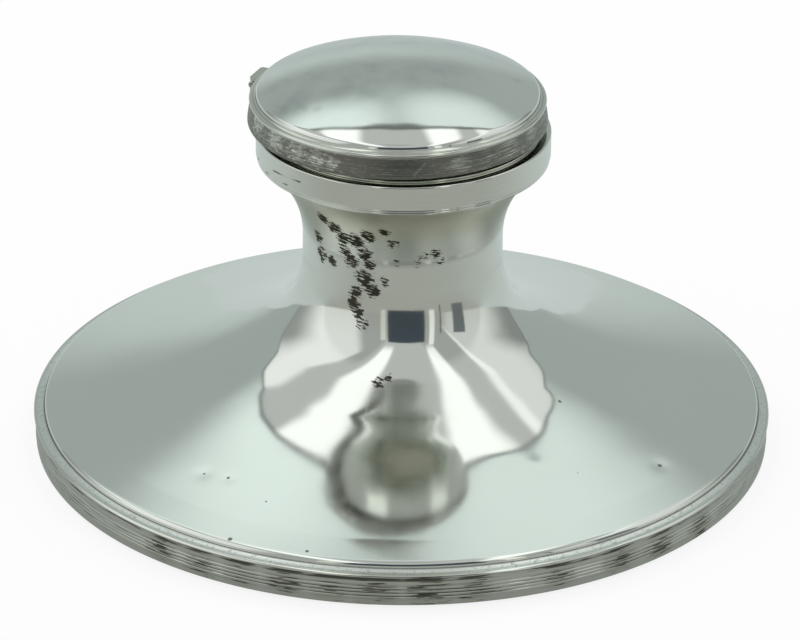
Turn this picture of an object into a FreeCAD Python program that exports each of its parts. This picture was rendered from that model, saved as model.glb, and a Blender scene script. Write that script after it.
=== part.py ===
import FreeCAD, Part
import math
import os

# Capstan inkwell. A loaded silver foot sweeps up to a waisted neck, a glass ink pot drops into the neck,
# and a domed lid on a small barrel hinge closes it.
# Millimetres, +Z up. The origin is on the table under the middle of the foot, and the hinge is at the back, +Y.

Vector = FreeCAD.Vector

# Silver sheet and the joints between soldered pieces
sheet = 0.7                    # thickness of the spun body and dome
edge_bend = 0.2                # inside radius where a sheet's edge is turned down
solder_gap = 0.03              # room for solder between two round faces

# Underside: felt, board and the lip that holds the board
felt_proud = 0.5               # the felt stands this far below the silver
felt_inset = 0.7               # ring of board left bare between the felt and the lip
board_thickness = 4.0
board_clearance = 0.2          # between the board's edge and the rim's wall
rim_lip_thickness = 0.7        # the rim's bottom edge, turned in under the board
rim_lip_reach = 1.6

# Reeded rim round the foot
foot_radius = 65.0             # over the rim's bead
rim_seat_inset = 0.6           # the seat reaches this far in past the body's edge
rim_band_height = 5.1
rim_corner = 0.35              # rounded bottom corner of the band
rim_reed_pitch = 0.62
rim_reed_depth = 0.08
rim_reed_start = 1.2           # plain strip under the reeds
rim_reed_stop = 0.95           # plain strip over the reeds
rim_bead_height = 0.7
rim_bead_proud = 0.3
rim_ledge_width = 1.6
rim_ledge_rise = 0.4
rim_ledge_hollow = 0.14
rim_seat_depth = 0.7           # how deep the body's edge sits in the rim

# Spun body: foot sweep, flare, neck and mouth
body_edge_rise = 0.1           # straight part of the body's edge above the rim
foot_slope = 14.6              # degrees, at the rim
foot_sweep_radius = 265.0
foot_rise_start = 31.3         # radius at which the sweep tightens towards the neck
foot_rise_radius = 36.5
neck_flare_radius = 16.4
neck_radius = 17.5
neck_straight = 3.88
mouth_flare_radius = 18.4
mouth_radius = 24.3

# Collar round the mouth
collar_wall = 1.2
collar_step = 0.3              # bare strip of body under the collar
collar_foot_height = 0.9       # reeds under the band
collar_foot_step = 0.12        # the reeds lie this far behind the band
collar_foot_taper = 0.2        # and draw in by this much more towards the bottom
collar_reed_pitch = 0.45
collar_reed_depth = 0.1
collar_band_height = 4.35
collar_lip_thickness = 1.3
collar_top_round = 0.3

# Mouth ring: the upstand that the lid shuts on, and the ledge that carries the glass
mouth_ring_wall = 0.8
mouth_ring_clearance = 0.1
mouth_ring_flange = 1.6        # width of the flange that sits on the collar
mouth_ring_flange_thickness = 0.4
mouth_ring_rise = 1.7          # above the collar
mouth_ring_inset = 1.4         # between the ring and the body's mouth
ledge_drop = 3.5               # from the collar's top down to the ledge's underside
ledge_thickness = 0.8
ledge_opening = 0.65           # share of the room between the pot and the ring that the ledge leaves open
ledge_clearance = 0.4          # between the ledge and the pot's shoulder

# Glass ink pot
glass_flange_thickness = 1.6
glass_flange_clearance = 0.3
glass_flange_round = 0.6
glass_clearance = 0.6          # between the pot and the well
glass_wall = 2.7
glass_floor = 4.2
glass_floor_round = 5.0
glass_mouth_round = 1.6
glass_floor_clearance = 1.0    # between the pot and the bottom of the well

# Well and loading inside the foot
well_wall = 0.4
well_floor = 0.5
well_height_in_neck = 3.0
well_clearance = 0.1
loading_floor = 4.8
loading_clearance = 0.1
loading_top_drop = 10.5        # the loading stops this far below the flare's centre
loading_edge_inset = 0.4

# Lid: reeded rim, dome and lining
lid_overhang = 0.42            # the lid's band stands out past the collar
lid_taper = 0.52               # the band draws in by this much towards the top
lid_set_back = 1.1             # the lid sits this far towards its hinge
lid_gap = 1.3                  # shadow gap between the lid and the collar
lid_band_height = 3.75
lid_corner = 0.25
lid_reed_pitch = 0.42
lid_reed_depth = 0.04
lid_reed_start = 0.45          # plain strip under the reeds
lid_reed_stop = 1.5            # plain strip over the reeds
lid_bead_height = 0.65
lid_bead_proud = 0.2
lid_ledge_width = 0.95
lid_ledge_rise = 0.34
lid_ledge_hollow = 0.12
lid_wall = 1.1
lid_seat_depth = 0.7
lid_seat_thickness = 0.7
lid_seat_reach = 0.8           # how far the seat reaches in under the dome's edge
dome_edge_rise = 0.15
dome_radius = 56.0
lining_thickness = 0.5
lining_gap = 0.2               # between the lining and the mouth ring it shuts on
lining_clearance = 0.1
lid_swing_clearance = 0.55     # between the mouth ring and the lid's rim as it swings

# Barrel hinge
hinge_drop = 0.9               # from the lid's bead down to the pin
knuckle_radius = 0.65
pin_radius = 0.32
pin_running_gap = 0.05         # the lid's knuckle turns on the pin
pin_end = 0.15                 # the pin's ends stand out of the barrel
hinge_width = 5.2
lid_knuckle_length = 2.0
knuckle_end_gap = 0.1
hinge_clearance = 0.25         # between the barrel and the lid's band
strap_thickness = 0.6
strap_clearance = 0.12         # between the strap and the fixed knuckles
strap_reach = 0.45             # past the pin's centre line
strap_corner = 0.5             # rounded outer corners
leaf_clearance = 0.3           # between the lid's band and the leaf behind it
leaf_reach = 0.35              # past the pin's centre line
leaf_knuckle_gap = 0.2         # under the lid's knuckle
bracket_height = 2.0
bracket_drop = 0.3             # below the collar's top

# Levels and radii that follow from the sizes above
rim_bottom = felt_proud
board_bottom = rim_bottom + rim_lip_thickness
board_top = board_bottom + board_thickness
rim_radius = foot_radius - rim_bead_proud
body_edge_radius = rim_radius - rim_ledge_width
rim_inner_radius = body_edge_radius - sheet - rim_seat_inset
rim_band_top = rim_bottom + rim_band_height
rim_bead_top = rim_band_top + rim_bead_height
rim_ledge_top = rim_bead_top + rim_ledge_rise
rim_seat = rim_ledge_top - rim_seat_depth

well_radius = neck_radius - sheet - well_clearance
well_bottom = board_top + loading_floor
glass_radius = well_radius - well_wall - glass_clearance

collar_radius = mouth_radius + solder_gap + collar_wall
mouth_ring_radius = mouth_radius - sheet - mouth_ring_inset
lid_radius = collar_radius + lid_overhang
lid_band_top_radius = lid_radius - lid_taper
dome_edge_radius = lid_band_top_radius - lid_ledge_width


def spot(centre, radius, degrees):
    """The point of a circle in the section plane, counted from +R towards +Z."""
    angle = math.radians(degrees)
    return (centre[0] + radius * math.cos(angle), centre[1] + radius * math.sin(angle))


def arc(centre, radius, start, end):
    """An arc for an outline: its middle and its end point."""
    return (spot(centre, radius, (start + end) / 2), spot(centre, radius, end))


def bulge(start, end, height):
    """An arc from start to end whose middle stands off the chord, to its right for a positive height."""
    along = (end[0] - start[0], end[1] - start[1])
    length = math.hypot(*along)
    middle = ((start[0] + end[0]) / 2, (start[1] + end[1]) / 2)
    lifted = (middle[0] + along[1] / length * height, middle[1] - along[0] / length * height)
    return (lifted, end)


def turned(outline):
    """A solid turned about Z. An outline is its first point, then a point per line or (middle, end) per arc."""
    at = [Vector(outline[0][0], 0, outline[0][1])]
    edges = []
    for step in outline[1:]:
        points = [step] if isinstance(step[0], (int, float)) else list(step)
        ahead = [Vector(r, 0, z) for r, z in points]
        if len(ahead) == 2:
            edges.append(Part.Arc(at[-1], ahead[0], ahead[1]).toShape())
        elif at[-1].distanceToPoint(ahead[0]) > 1e-9:
            edges.append(Part.LineSegment(at[-1], ahead[0]).toShape())
        at.append(ahead[-1])
    if at[-1].distanceToPoint(at[0]) > 1e-9:
        edges.append(Part.LineSegment(at[-1], at[0]).toShape())
    face = Part.Face(Part.Wire(edges))
    return face.revolve(Vector(0, 0, 0), Vector(0, 0, 1), 360)


def reeds(radius_at, start, stop, pitch, depth):
    """As many half-round reeds as fit up a band, as outline steps. radius_at gives the band's radius."""
    low = (radius_at(start), start)
    steps = [low]
    while low[1] + pitch <= stop:
        high = (radius_at(low[1] + pitch), low[1] + pitch)
        steps.append(bulge(low, high, depth))
        low = high
    return steps


def block(x, y, z):
    """A box from its (low, high) pairs."""
    size = (x[1] - x[0], y[1] - y[0], z[1] - z[0])
    return Part.makeBox(*size, Vector(x[0], y[0], z[0]))


def rod(radius, low, high, y, z):
    """A cylinder along X."""
    return Part.makeCylinder(radius, high - low, Vector(low, y, z), Vector(1, 0, 0))


# Spun body: circles that the section follows, tangent to one another
body_bend = edge_bend + sheet
body_bend_centre = (body_edge_radius - body_bend, rim_ledge_top + body_edge_rise)
foot_top = spot(body_bend_centre, body_bend, 90 - foot_slope)
sweep_centre = spot(foot_top, foot_sweep_radius, 90 - foot_slope)
rise_slope = math.degrees(math.asin((sweep_centre[0] - foot_rise_start) / foot_sweep_radius))
rise_centre = spot(sweep_centre, foot_sweep_radius - foot_rise_radius, 270 - rise_slope)
flare_reach = neck_radius + neck_flare_radius
flare_slope = math.degrees(math.asin((rise_centre[0] - flare_reach) / (foot_rise_radius - neck_flare_radius)))
flare_centre = spot(rise_centre, foot_rise_radius - neck_flare_radius, 270 - flare_slope)
neck_bottom = flare_centre[1]
neck_top = neck_bottom + neck_straight
mouth_centre = (neck_radius + mouth_flare_radius, neck_top)
mouth_turn = math.degrees(math.acos((mouth_centre[0] - mouth_radius) / mouth_flare_radius))
mouth_bottom = mouth_centre[1] + mouth_flare_radius * math.sin(math.radians(mouth_turn))

collar_bottom = mouth_bottom + collar_step
collar_band_bottom = collar_bottom + collar_foot_height
collar_top = collar_band_bottom + collar_band_height
body_top = collar_top - collar_lip_thickness


def body_shell():
    """Foot, neck and mouth, spun from one sheet."""
    mouth_inside = mouth_flare_radius + sheet
    mouth_inside_turn = math.degrees(math.acos((mouth_centre[0] - mouth_radius + sheet) / mouth_inside))
    return turned([
        (body_edge_radius, rim_seat),
        (body_edge_radius, body_bend_centre[1]),
        arc(body_bend_centre, body_bend, 0, 90 - foot_slope),
        arc(sweep_centre, foot_sweep_radius, 270 - foot_slope, 270 - rise_slope),
        arc(rise_centre, foot_rise_radius, 270 - rise_slope, 270 - flare_slope),
        arc(flare_centre, neck_flare_radius, 270 - flare_slope, 180),
        (neck_radius, neck_top),
        arc(mouth_centre, mouth_flare_radius, 180, 180 - mouth_turn),
        (mouth_radius, body_top),
        (mouth_radius - sheet, body_top),
        spot(mouth_centre, mouth_inside, 180 - mouth_inside_turn),
        arc(mouth_centre, mouth_inside, 180 - mouth_inside_turn, 180),
        (neck_radius - sheet, neck_bottom),
        arc(flare_centre, neck_flare_radius + sheet, 180, 270 - flare_slope),
        arc(rise_centre, foot_rise_radius + sheet, 270 - flare_slope, 270 - rise_slope),
        arc(sweep_centre, foot_sweep_radius + sheet, 270 - rise_slope, 270 - foot_slope),
        arc(body_bend_centre, edge_bend, 90 - foot_slope, 0),
        (body_edge_radius - sheet, rim_seat),
    ])


def rim_band_radius(level):
    """The rim's band is upright, so its radius is the same at every level."""
    return rim_radius


def base_rim():
    """Reeded wire round the foot, with a bead and a hollow ledge above and a lip turned in below."""
    rebate = body_edge_radius + solder_gap
    bead_top = (rim_radius, rim_bead_top)
    return turned([
        (rim_inner_radius - rim_lip_reach, rim_bottom),
        (rim_radius - rim_corner, rim_bottom),
        arc((rim_radius - rim_corner, rim_bottom + rim_corner), rim_corner, -90, 0),
        *reeds(rim_band_radius, rim_bottom + rim_reed_start, rim_band_top - rim_reed_stop,
               rim_reed_pitch, rim_reed_depth),
        (rim_radius, rim_band_top),
        bulge((rim_radius, rim_band_top), bead_top, rim_bead_proud),
        bulge(bead_top, (rebate, rim_ledge_top), -rim_ledge_hollow),
        (rebate, rim_seat),
        (rim_inner_radius, rim_seat),
        (rim_inner_radius, board_bottom),
        (rim_inner_radius - rim_lip_reach, board_bottom),
    ])


def base_board():
    """Turned wooden disc that closes the foot."""
    return turned([
        (0, board_bottom),
        (rim_inner_radius - board_clearance, board_bottom),
        (rim_inner_radius - board_clearance, board_top),
        (0, board_top),
    ])


def base_felt():
    """Felt glued to the board, which the inkwell stands on."""
    radius = rim_inner_radius - rim_lip_reach - felt_inset
    return turned([(0, 0), (radius, 0), (radius, board_bottom), (0, board_bottom)])


def well_sleeve():
    """Thin metal cup that keeps the loading off the glass. Its top is pushed up into the neck."""
    top = neck_bottom + well_height_in_neck
    inner = well_radius - well_wall
    return turned([
        (0, well_bottom),
        (well_radius, well_bottom),
        (well_radius, top),
        (inner, top),
        (inner, well_bottom + well_floor),
        (0, well_bottom + well_floor),
    ])


def loading():
    """Cast filling that weights the foot, poured round the well."""
    depth = sheet + loading_clearance
    sweep = foot_sweep_radius + depth
    rise = foot_rise_radius + depth
    flare = neck_flare_radius + depth
    edge = rim_inner_radius - loading_edge_inset
    top = flare_centre[1] - loading_top_drop
    edge_turn = math.degrees(math.acos((sweep_centre[0] - edge) / sweep))
    top_turn = math.degrees(math.asin(loading_top_drop / flare))
    return turned([
        (0, board_top),
        (edge, board_top),
        spot(sweep_centre, sweep, 180 + edge_turn),
        arc(sweep_centre, sweep, 180 + edge_turn, 270 - rise_slope),
        arc(rise_centre, rise, 270 - rise_slope, 270 - flare_slope),
        arc(flare_centre, flare, 270 - flare_slope, 180 + top_turn),
        (well_radius + solder_gap, top),
        (well_radius + solder_gap, well_bottom),
        (0, well_bottom),
    ])


def collar_foot_radius(level):
    """The collar's radius at a level under its band, where the reeds are."""
    share = (collar_band_bottom - level) / collar_foot_height
    return collar_radius - collar_foot_step - collar_foot_taper * share


def collar():
    """Plain band round the mouth, with reeds under it and a lip over the body's edge."""
    inner = mouth_radius + solder_gap
    return turned([
        (inner, collar_bottom),
        *reeds(collar_foot_radius, collar_bottom, collar_band_bottom, collar_reed_pitch, collar_reed_depth),
        (collar_radius, collar_band_bottom),
        (collar_radius, collar_top - collar_top_round),
        arc((collar_radius - collar_top_round, collar_top - collar_top_round), collar_top_round, 0, 90),
        (mouth_ring_radius + mouth_ring_clearance, collar_top),
        (mouth_ring_radius + mouth_ring_clearance, body_top),
        (inner, body_top),
    ])


mouth_ring_inner = mouth_ring_radius - mouth_ring_wall
mouth_ring_top = collar_top + mouth_ring_rise
ledge_bottom = collar_top - ledge_drop
ledge_top = ledge_bottom + ledge_thickness
ledge_inner = glass_radius + ledge_opening * (mouth_ring_inner - glass_radius)


def mouth_ring():
    """Ring soldered on the collar: the lid shuts on its upstand, and its ledge carries the glass."""
    flange_radius = mouth_ring_radius + mouth_ring_flange
    flange_top = collar_top + mouth_ring_flange_thickness
    return turned([
        (ledge_inner, ledge_bottom),
        (mouth_ring_radius, ledge_bottom),
        (mouth_ring_radius, collar_top),
        (flange_radius, collar_top),
        (flange_radius, flange_top),
        (mouth_ring_radius, flange_top),
        (mouth_ring_radius, mouth_ring_top),
        (mouth_ring_inner, mouth_ring_top),
        (mouth_ring_inner, ledge_top),
        (ledge_inner, ledge_top),
    ])


def glass_liner():
    """Moulded glass ink pot, hung by its flange."""
    top = ledge_top + glass_flange_thickness
    bottom = well_bottom + well_floor + glass_floor_clearance
    flange = mouth_ring_inner - glass_flange_clearance
    edge = flange - glass_flange_round
    shoulder_radius = ledge_inner - ledge_clearance - glass_radius
    shoulder = (glass_radius + shoulder_radius, ledge_top - shoulder_radius)
    inner = glass_radius - glass_wall
    floor = bottom + glass_floor
    return turned([
        (0, bottom),
        (glass_radius - glass_floor_round, bottom),
        arc((glass_radius - glass_floor_round, bottom + glass_floor_round), glass_floor_round, -90, 0),
        (glass_radius, shoulder[1]),
        arc(shoulder, shoulder_radius, 180, 90),
        (flange, ledge_top),
        (flange, top - glass_flange_round),
        arc((edge, top - glass_flange_round), glass_flange_round, 0, 90),
        (inner + glass_mouth_round, top),
        arc((inner + glass_mouth_round, top - glass_mouth_round), glass_mouth_round, 90, 180),
        (inner, floor + glass_floor_round),
        arc((inner - glass_floor_round, floor + glass_floor_round), glass_floor_round, 0, -90),
        (0, floor),
    ])


# Lid, turned about its own axis and then set back towards the hinge
lid_bottom = collar_top + lid_gap
lining_bottom = mouth_ring_top + lining_gap
lid_band_top = lid_bottom + lid_band_height
lid_bead_top = lid_band_top + lid_bead_height
lid_ledge_top = lid_bead_top + lid_ledge_rise
lid_seat = lid_ledge_top - lid_seat_depth
lid_inner_radius = lid_band_top_radius - lid_wall
lining_seat_inner = mouth_ring_radius + lid_set_back + lid_swing_clearance
dome_bend = edge_bend + sheet
dome_bend_centre = (dome_edge_radius - dome_bend, lid_ledge_top + dome_edge_rise)
dome_slope = math.degrees(math.asin(dome_bend_centre[0] / (dome_radius - dome_bend)))
dome_centre = (0, dome_bend_centre[1] - (dome_radius - dome_bend) * math.cos(math.radians(dome_slope)))


def set_back(solid):
    """Moves a lid piece from the body's axis to the lid's."""
    return solid.translated(Vector(0, lid_set_back, 0))


def lid_band_radius(level):
    """The band's radius at a level: it tapers towards the top."""
    return lid_radius - lid_taper * (level - lid_bottom) / lid_band_height


def lid_rim():
    """Band of the lid, with reeds, a bead and a hollow ledge, a seat for the dome and one for the lining."""
    rebate = dome_edge_radius + solder_gap
    seat_inner = dome_edge_radius - lid_seat_reach
    bead_top = (lid_band_top_radius, lid_bead_top)
    corner_level = lid_bottom + lid_corner
    corner = (lid_band_radius(corner_level), corner_level)
    corner_middle = spot((corner[0] - lid_corner, corner_level), lid_corner, -45)
    return set_back(turned([
        (lining_seat_inner, lid_bottom),
        (corner[0] - lid_corner, lid_bottom),
        (corner_middle, corner),
        *reeds(lid_band_radius, lid_bottom + lid_reed_start, lid_band_top - lid_reed_stop,
               lid_reed_pitch, lid_reed_depth),
        (lid_band_top_radius, lid_band_top),
        bulge((lid_band_top_radius, lid_band_top), bead_top, lid_bead_proud),
        bulge(bead_top, (rebate, lid_ledge_top), -lid_ledge_hollow),
        (rebate, lid_seat),
        (seat_inner, lid_seat),
        (seat_inner, lid_seat - lid_seat_thickness),
        (lid_inner_radius, lid_seat - lid_seat_thickness),
        (lid_inner_radius, lining_bottom),
        (lining_seat_inner, lining_bottom),
    ]))


def lid_dome():
    """Domed top of the lid, its edge turned down into the rim."""
    inside = dome_radius - sheet
    return set_back(turned([
        (dome_edge_radius, lid_seat),
        (dome_edge_radius, dome_bend_centre[1]),
        arc(dome_bend_centre, dome_bend, 0, 90 - dome_slope),
        arc(dome_centre, dome_radius, 90 - dome_slope, 90),
        (0, dome_centre[1] + inside),
        arc(dome_centre, inside, 90, 90 - dome_slope),
        arc(dome_bend_centre, edge_bend, 90 - dome_slope, 0),
        (dome_edge_radius - sheet, lid_seat),
    ]))


def lid_lining():
    """Flat plate that closes the underside of the lid."""
    radius = lid_inner_radius - lining_clearance
    top = lining_bottom + lining_thickness
    return set_back(turned([(0, lining_bottom), (radius, lining_bottom), (radius, top), (0, top)]))


# Hinge: its pin runs along X behind the lid's band
hinge_z = lid_band_top - hinge_drop
hinge_y = lid_set_back + lid_band_radius(hinge_z) + hinge_clearance + knuckle_radius
half_hinge = hinge_width / 2
half_lid_knuckle = lid_knuckle_length / 2
fixed_knuckle_start = half_lid_knuckle + knuckle_end_gap


def hinge_pin():
    """Pin, fast in the two fixed knuckles."""
    end = half_hinge + pin_end
    return rod(pin_radius, -end, end, hinge_y, hinge_z)


def fixed_knuckle(side):
    """One of the two knuckles on the bracket."""
    low, high = sorted((side * fixed_knuckle_start, side * half_hinge))
    return rod(knuckle_radius, low, high, hinge_y, hinge_z).cut(rod(pin_radius, low, high, hinge_y, hinge_z))


def lid_knuckle():
    """Middle knuckle, which turns with the lid."""
    bore = rod(pin_radius + pin_running_gap, -half_lid_knuckle, half_lid_knuckle, hinge_y, hinge_z)
    return rod(knuckle_radius, -half_lid_knuckle, half_lid_knuckle, hinge_y, hinge_z).cut(bore)


def hinge_bracket():
    """Leaf soldered to the collar, standing up behind the lid to the two fixed knuckles."""
    leaf_front = lid_set_back + lid_radius + leaf_clearance
    leaf_back = hinge_y + leaf_reach
    foot_top_level = collar_top - bracket_drop
    foot_bottom_level = foot_top_level - bracket_height
    across = (-half_hinge, half_hinge)
    middle = (-fixed_knuckle_start, fixed_knuckle_start)
    foot = block(across, (0, leaf_back), (foot_bottom_level, foot_top_level))
    leaf = block(across, (leaf_front, leaf_back), (foot_bottom_level, hinge_z))
    room = block(middle, (0, leaf_back), (hinge_z - knuckle_radius - leaf_knuckle_gap, hinge_z))
    barrel = rod(knuckle_radius, -half_hinge, half_hinge, hinge_y, hinge_z)
    neck_side = Part.makeCylinder(collar_radius, bracket_height, Vector(0, 0, foot_bottom_level))
    bracket = foot.fuse(leaf).cut(barrel).cut(room).cut(neck_side).removeSplitter()
    return max(bracket.Solids, key=lambda solid: solid.Volume)


def hinge_strap(rim):
    """Strap soldered to the side of the lid's rim, reaching out over the barrel to the lid's knuckle."""
    low = hinge_z + knuckle_radius + strap_clearance
    end = hinge_y + strap_reach
    inside_rim = lid_set_back + lid_band_top_radius - lid_wall / 2
    plate = block((-half_hinge, half_hinge), (inside_rim, end), (low, low + strap_thickness))
    outer_corners = [edge for edge in plate.Edges
                     if edge.BoundBox.YMin > end - strap_corner and edge.BoundBox.ZLength > strap_thickness / 2]
    plate = plate.makeFillet(strap_corner, outer_corners)
    middle = (-half_lid_knuckle, half_lid_knuckle)
    web = block(middle, (hinge_y - pin_radius, hinge_y + pin_radius), (hinge_z, low))
    knuckle = rod(knuckle_radius, -half_lid_knuckle, half_lid_knuckle, hinge_y, hinge_z)
    strap = plate.fuse(web).cut(rim).cut(knuckle).removeSplitter()
    return max(strap.Solids, key=lambda solid: solid.Volume)


def main():
    os.makedirs("parts", exist_ok=True)
    rim_of_lid = lid_rim()
    pieces = {
        "base_felt": base_felt(),
        "base_board": base_board(),
        "base_rim": base_rim(),
        "body_shell": body_shell(),
        "loading": loading(),
        "well_sleeve": well_sleeve(),
        "collar": collar(),
        "mouth_ring": mouth_ring(),
        "glass_liner": glass_liner(),
        "hinge_bracket": hinge_bracket(),
        "hinge_knuckle_left": fixed_knuckle(-1),
        "hinge_knuckle_right": fixed_knuckle(1),
        "hinge_pin": hinge_pin(),
        "hinge_knuckle_lid": lid_knuckle(),
        "hinge_strap": hinge_strap(rim_of_lid),
        "lid_rim": rim_of_lid,
        "lid_dome": lid_dome(),
        "lid_lining": lid_lining(),
    }
    for name, solid in pieces.items():
        solid.exportStep(f"parts/{name}.step")
        box = solid.BoundBox
        print(f"{name}: valid {solid.isValid()}, {len(solid.Solids)} solid, volume {solid.Volume:.1f},"
              f" z {box.ZMin:.2f} to {box.ZMax:.2f}, y {box.YMin:.2f} to {box.YMax:.2f}")
    print(f"neck {neck_bottom:.2f} to {neck_top:.2f}, mouth {mouth_bottom:.2f}, collar top {collar_top:.2f},"
          f" hinge y {hinge_y:.4f} z {hinge_z:.4f}, foot slope {rise_slope:.1f} where it tightens,"
          f" flare slope {flare_slope:.1f}, dome slope {dome_slope:.1f}")


main()
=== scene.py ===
# %% [markdown]
# # A capstan inkwell in worn silver
# A wide weighted foot of spun silver sweeps up into a waisted neck. A collar, a glass ink pot and a domed
# lid on a barrel hinge finish it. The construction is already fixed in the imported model, so this lesson
# only dresses it: each turned piece gets a fine skin with the dents and soft corners of an old piece, and
# a finish of its own.

# %% Load the frame
import math
import bpy
import numpy as np
from mathutils import Matrix, Vector, noise
from mathutils.bvhtree import BVHTree


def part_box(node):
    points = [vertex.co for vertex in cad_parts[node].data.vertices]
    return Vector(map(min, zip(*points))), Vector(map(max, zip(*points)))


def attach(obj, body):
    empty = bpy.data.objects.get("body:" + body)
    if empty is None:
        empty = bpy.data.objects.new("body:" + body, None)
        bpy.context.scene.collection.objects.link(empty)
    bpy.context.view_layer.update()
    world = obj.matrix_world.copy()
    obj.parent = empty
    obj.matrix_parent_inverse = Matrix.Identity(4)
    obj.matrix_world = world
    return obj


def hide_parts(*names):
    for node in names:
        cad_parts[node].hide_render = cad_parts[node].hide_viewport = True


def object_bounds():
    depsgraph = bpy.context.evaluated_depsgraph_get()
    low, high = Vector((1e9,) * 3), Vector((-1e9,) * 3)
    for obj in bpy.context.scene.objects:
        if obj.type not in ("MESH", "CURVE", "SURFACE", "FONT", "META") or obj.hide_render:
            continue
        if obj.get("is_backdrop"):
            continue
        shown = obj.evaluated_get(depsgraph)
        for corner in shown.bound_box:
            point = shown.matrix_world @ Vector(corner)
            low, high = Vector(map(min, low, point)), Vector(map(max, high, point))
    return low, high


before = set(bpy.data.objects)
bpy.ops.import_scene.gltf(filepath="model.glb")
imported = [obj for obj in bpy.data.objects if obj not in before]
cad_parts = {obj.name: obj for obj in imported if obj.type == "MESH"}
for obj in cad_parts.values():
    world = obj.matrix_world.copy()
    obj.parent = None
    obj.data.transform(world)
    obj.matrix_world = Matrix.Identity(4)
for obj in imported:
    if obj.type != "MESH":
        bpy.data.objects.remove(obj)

cad_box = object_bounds()
mm = 0.001
scene = bpy.context.scene
print("CAD box in mm:", [round(x / mm, 2) for x in cad_box[1] - cad_box[0]])

# %% [markdown]
# ## The camera
# The ellipses of the foot, the collar and the lid fix where the photographer stood. A long lens at 0.8 m
# gives their shapes, so the angle, the focal length in pixels and the slight roll are written down as
# measured. The camera is aimed by turning it, with no lens shift, so that views from other sides stay
# centred.

# %% Place the camera
photo_width = 800
photo_height = 640
focal_pixels = 4569.6
sensor_width = 36.0
camera_azimuth = math.radians(-67.5)
camera_elevation = math.radians(25.332)
camera_roll = math.radians(0.45)
camera_distance = 800 * mm
turning_height = 30.5 * mm
aim_height = 21.6 * mm
aim_side = -0.35 * mm

right = Vector((math.cos(camera_azimuth), math.sin(camera_azimuth), 0))
away = Vector((-math.sin(camera_azimuth), math.cos(camera_azimuth), 0))
up = Vector((0, 0, 1))
towards_eye = up * math.sin(camera_elevation) - away * math.cos(camera_elevation)
eye = up * turning_height + camera_distance * towards_eye
aim = right * aim_side + up * aim_height

camera = bpy.data.objects.new("camera", bpy.data.cameras.new("camera"))
camera.data.sensor_width = sensor_width
camera.data.lens = focal_pixels * sensor_width / photo_width
facing = (aim - eye).to_track_quat("-Z", "Y").to_matrix().to_4x4()
camera.matrix_world = Matrix.Translation(eye) @ facing @ Matrix.Rotation(camera_roll, 4, "Z")
scene.collection.objects.link(camera)
scene.camera = camera


def pixel_of(point):
    """Where a point of the object lands in the 800 by 640 picture."""
    x, y, z = camera.matrix_world.inverted() @ point
    return (photo_width / 2 - focal_pixels * x / z, photo_height / 2 + focal_pixels * y / z)


print("middle of the neck at pixel", [round(x, 2) for x in pixel_of(up * turning_height)])

# %% [markdown]
# ## Finding a mark's place
# Marks of wear are read off the photograph as pixels. A ray from the eye through a pixel meets the model
# at the place of the mark, so a mark stays on the metal when the camera moves. The trees below hold the
# CAD faces.

# %% Look along a pixel
def tree_of(node):
    """A search tree of a CAD node's faces."""
    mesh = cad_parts[node].data
    return BVHTree.FromPolygons([v.co for v in mesh.vertices], [p.vertices for p in mesh.polygons])


trees = {node: tree_of(node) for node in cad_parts}


def seen_at(node, px, py):
    """The point of a node that lies behind a pixel, in metres."""
    across = Vector(((px - photo_width / 2) / focal_pixels, (photo_height / 2 - py) / focal_pixels, -1))
    place = trees[node].ray_cast(eye, (camera.matrix_world.to_3x3() @ across).normalized())[0]
    if place is None:
        raise ValueError(f"pixel {px}, {py} doesn't show {node}")
    return place


print("foot in front of the neck:", [round(x / mm, 1) for x in seen_at("body_shell", 403, 450)])

# %% [markdown]
# ## Turning a skin
# Nearly every piece here was spun or turned, so one helper turns a section about the axis, as a lathe
# does. A primitive with modifiers would do for a rough shape. A section keeps the exact reeds, coves and
# beads, and takes as many points as the dents need. Each point also stores how hollow the section is
# there, because dirt gathers in hollows and polish rubs the ridges bright.

# %% Section and lathe
class Section:
    """The closed outline of a turned piece in radius and height, in millimetres, anticlockwise."""

    def __init__(self, r, z):
        self.points = [(r, z)]

    def line(self, r, z, parts=1):
        """A straight run in so many parts."""
        r0, z0 = self.points[-1]
        for k in range(1, parts + 1):
            self.points.append((r0 + (r - r0) * k / parts, z0 + (z - z0) * k / parts))
        return self

    def arc(self, centre, radius, start, end, parts=8):
        """An arc about a centre from one angle to another, in degrees from outwards to upwards."""
        for k in range(parts + 1):
            angle = math.radians(start + (end - start) * k / parts)
            self.points.append((centre[0] + radius * math.cos(angle), centre[1] + radius * math.sin(angle)))
        return self

    def bow(self, r, z, height, parts=6):
        """A curved run whose middle stands off its chord, to the right for a positive height."""
        r0, z0 = self.points[-1]
        length = math.hypot(r - r0, z - z0)
        for k in range(1, parts + 1):
            t = k / parts
            lift = 4 * height * t * (1 - t) / length
            self.points.append((r0 + (r - r0) * t + (z - z0) * lift, z0 + (z - z0) * t - (r - r0) * lift))
        return self


def without_repeats(points, least=0.004):
    """The points, with those that lie on the one before left out."""
    kept = []
    for point in points:
        if not kept or math.dist(point, kept[-1]) > least:
            kept.append(point)
    if math.dist(kept[0], kept[-1]) < least:
        kept.pop()
    return kept


def softened(points, radius, sharp=35):
    """The outline with its sharp corners rubbed round, as years of polishing leave them."""
    made = []
    for k, corner in enumerate(points):
        before = np.array(points[k - 1]) - corner
        after = np.array(points[(k + 1) % len(points)]) - corner
        reach = [math.hypot(*before), math.hypot(*after)]
        turn = 180 - math.degrees(math.acos(np.clip(before @ after / (reach[0] * reach[1]), -1, 1)))
        if turn < sharp or corner[0] < 1e-6:
            made.append(corner)
            continue
        first = np.array(corner) + before * min(radius / reach[0], 0.45)
        last = np.array(corner) + after * min(radius / reach[1], 0.45)
        made += [tuple(first), tuple((first + last + 2 * np.array(corner)) / 4), tuple(last)]
    return made


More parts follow.
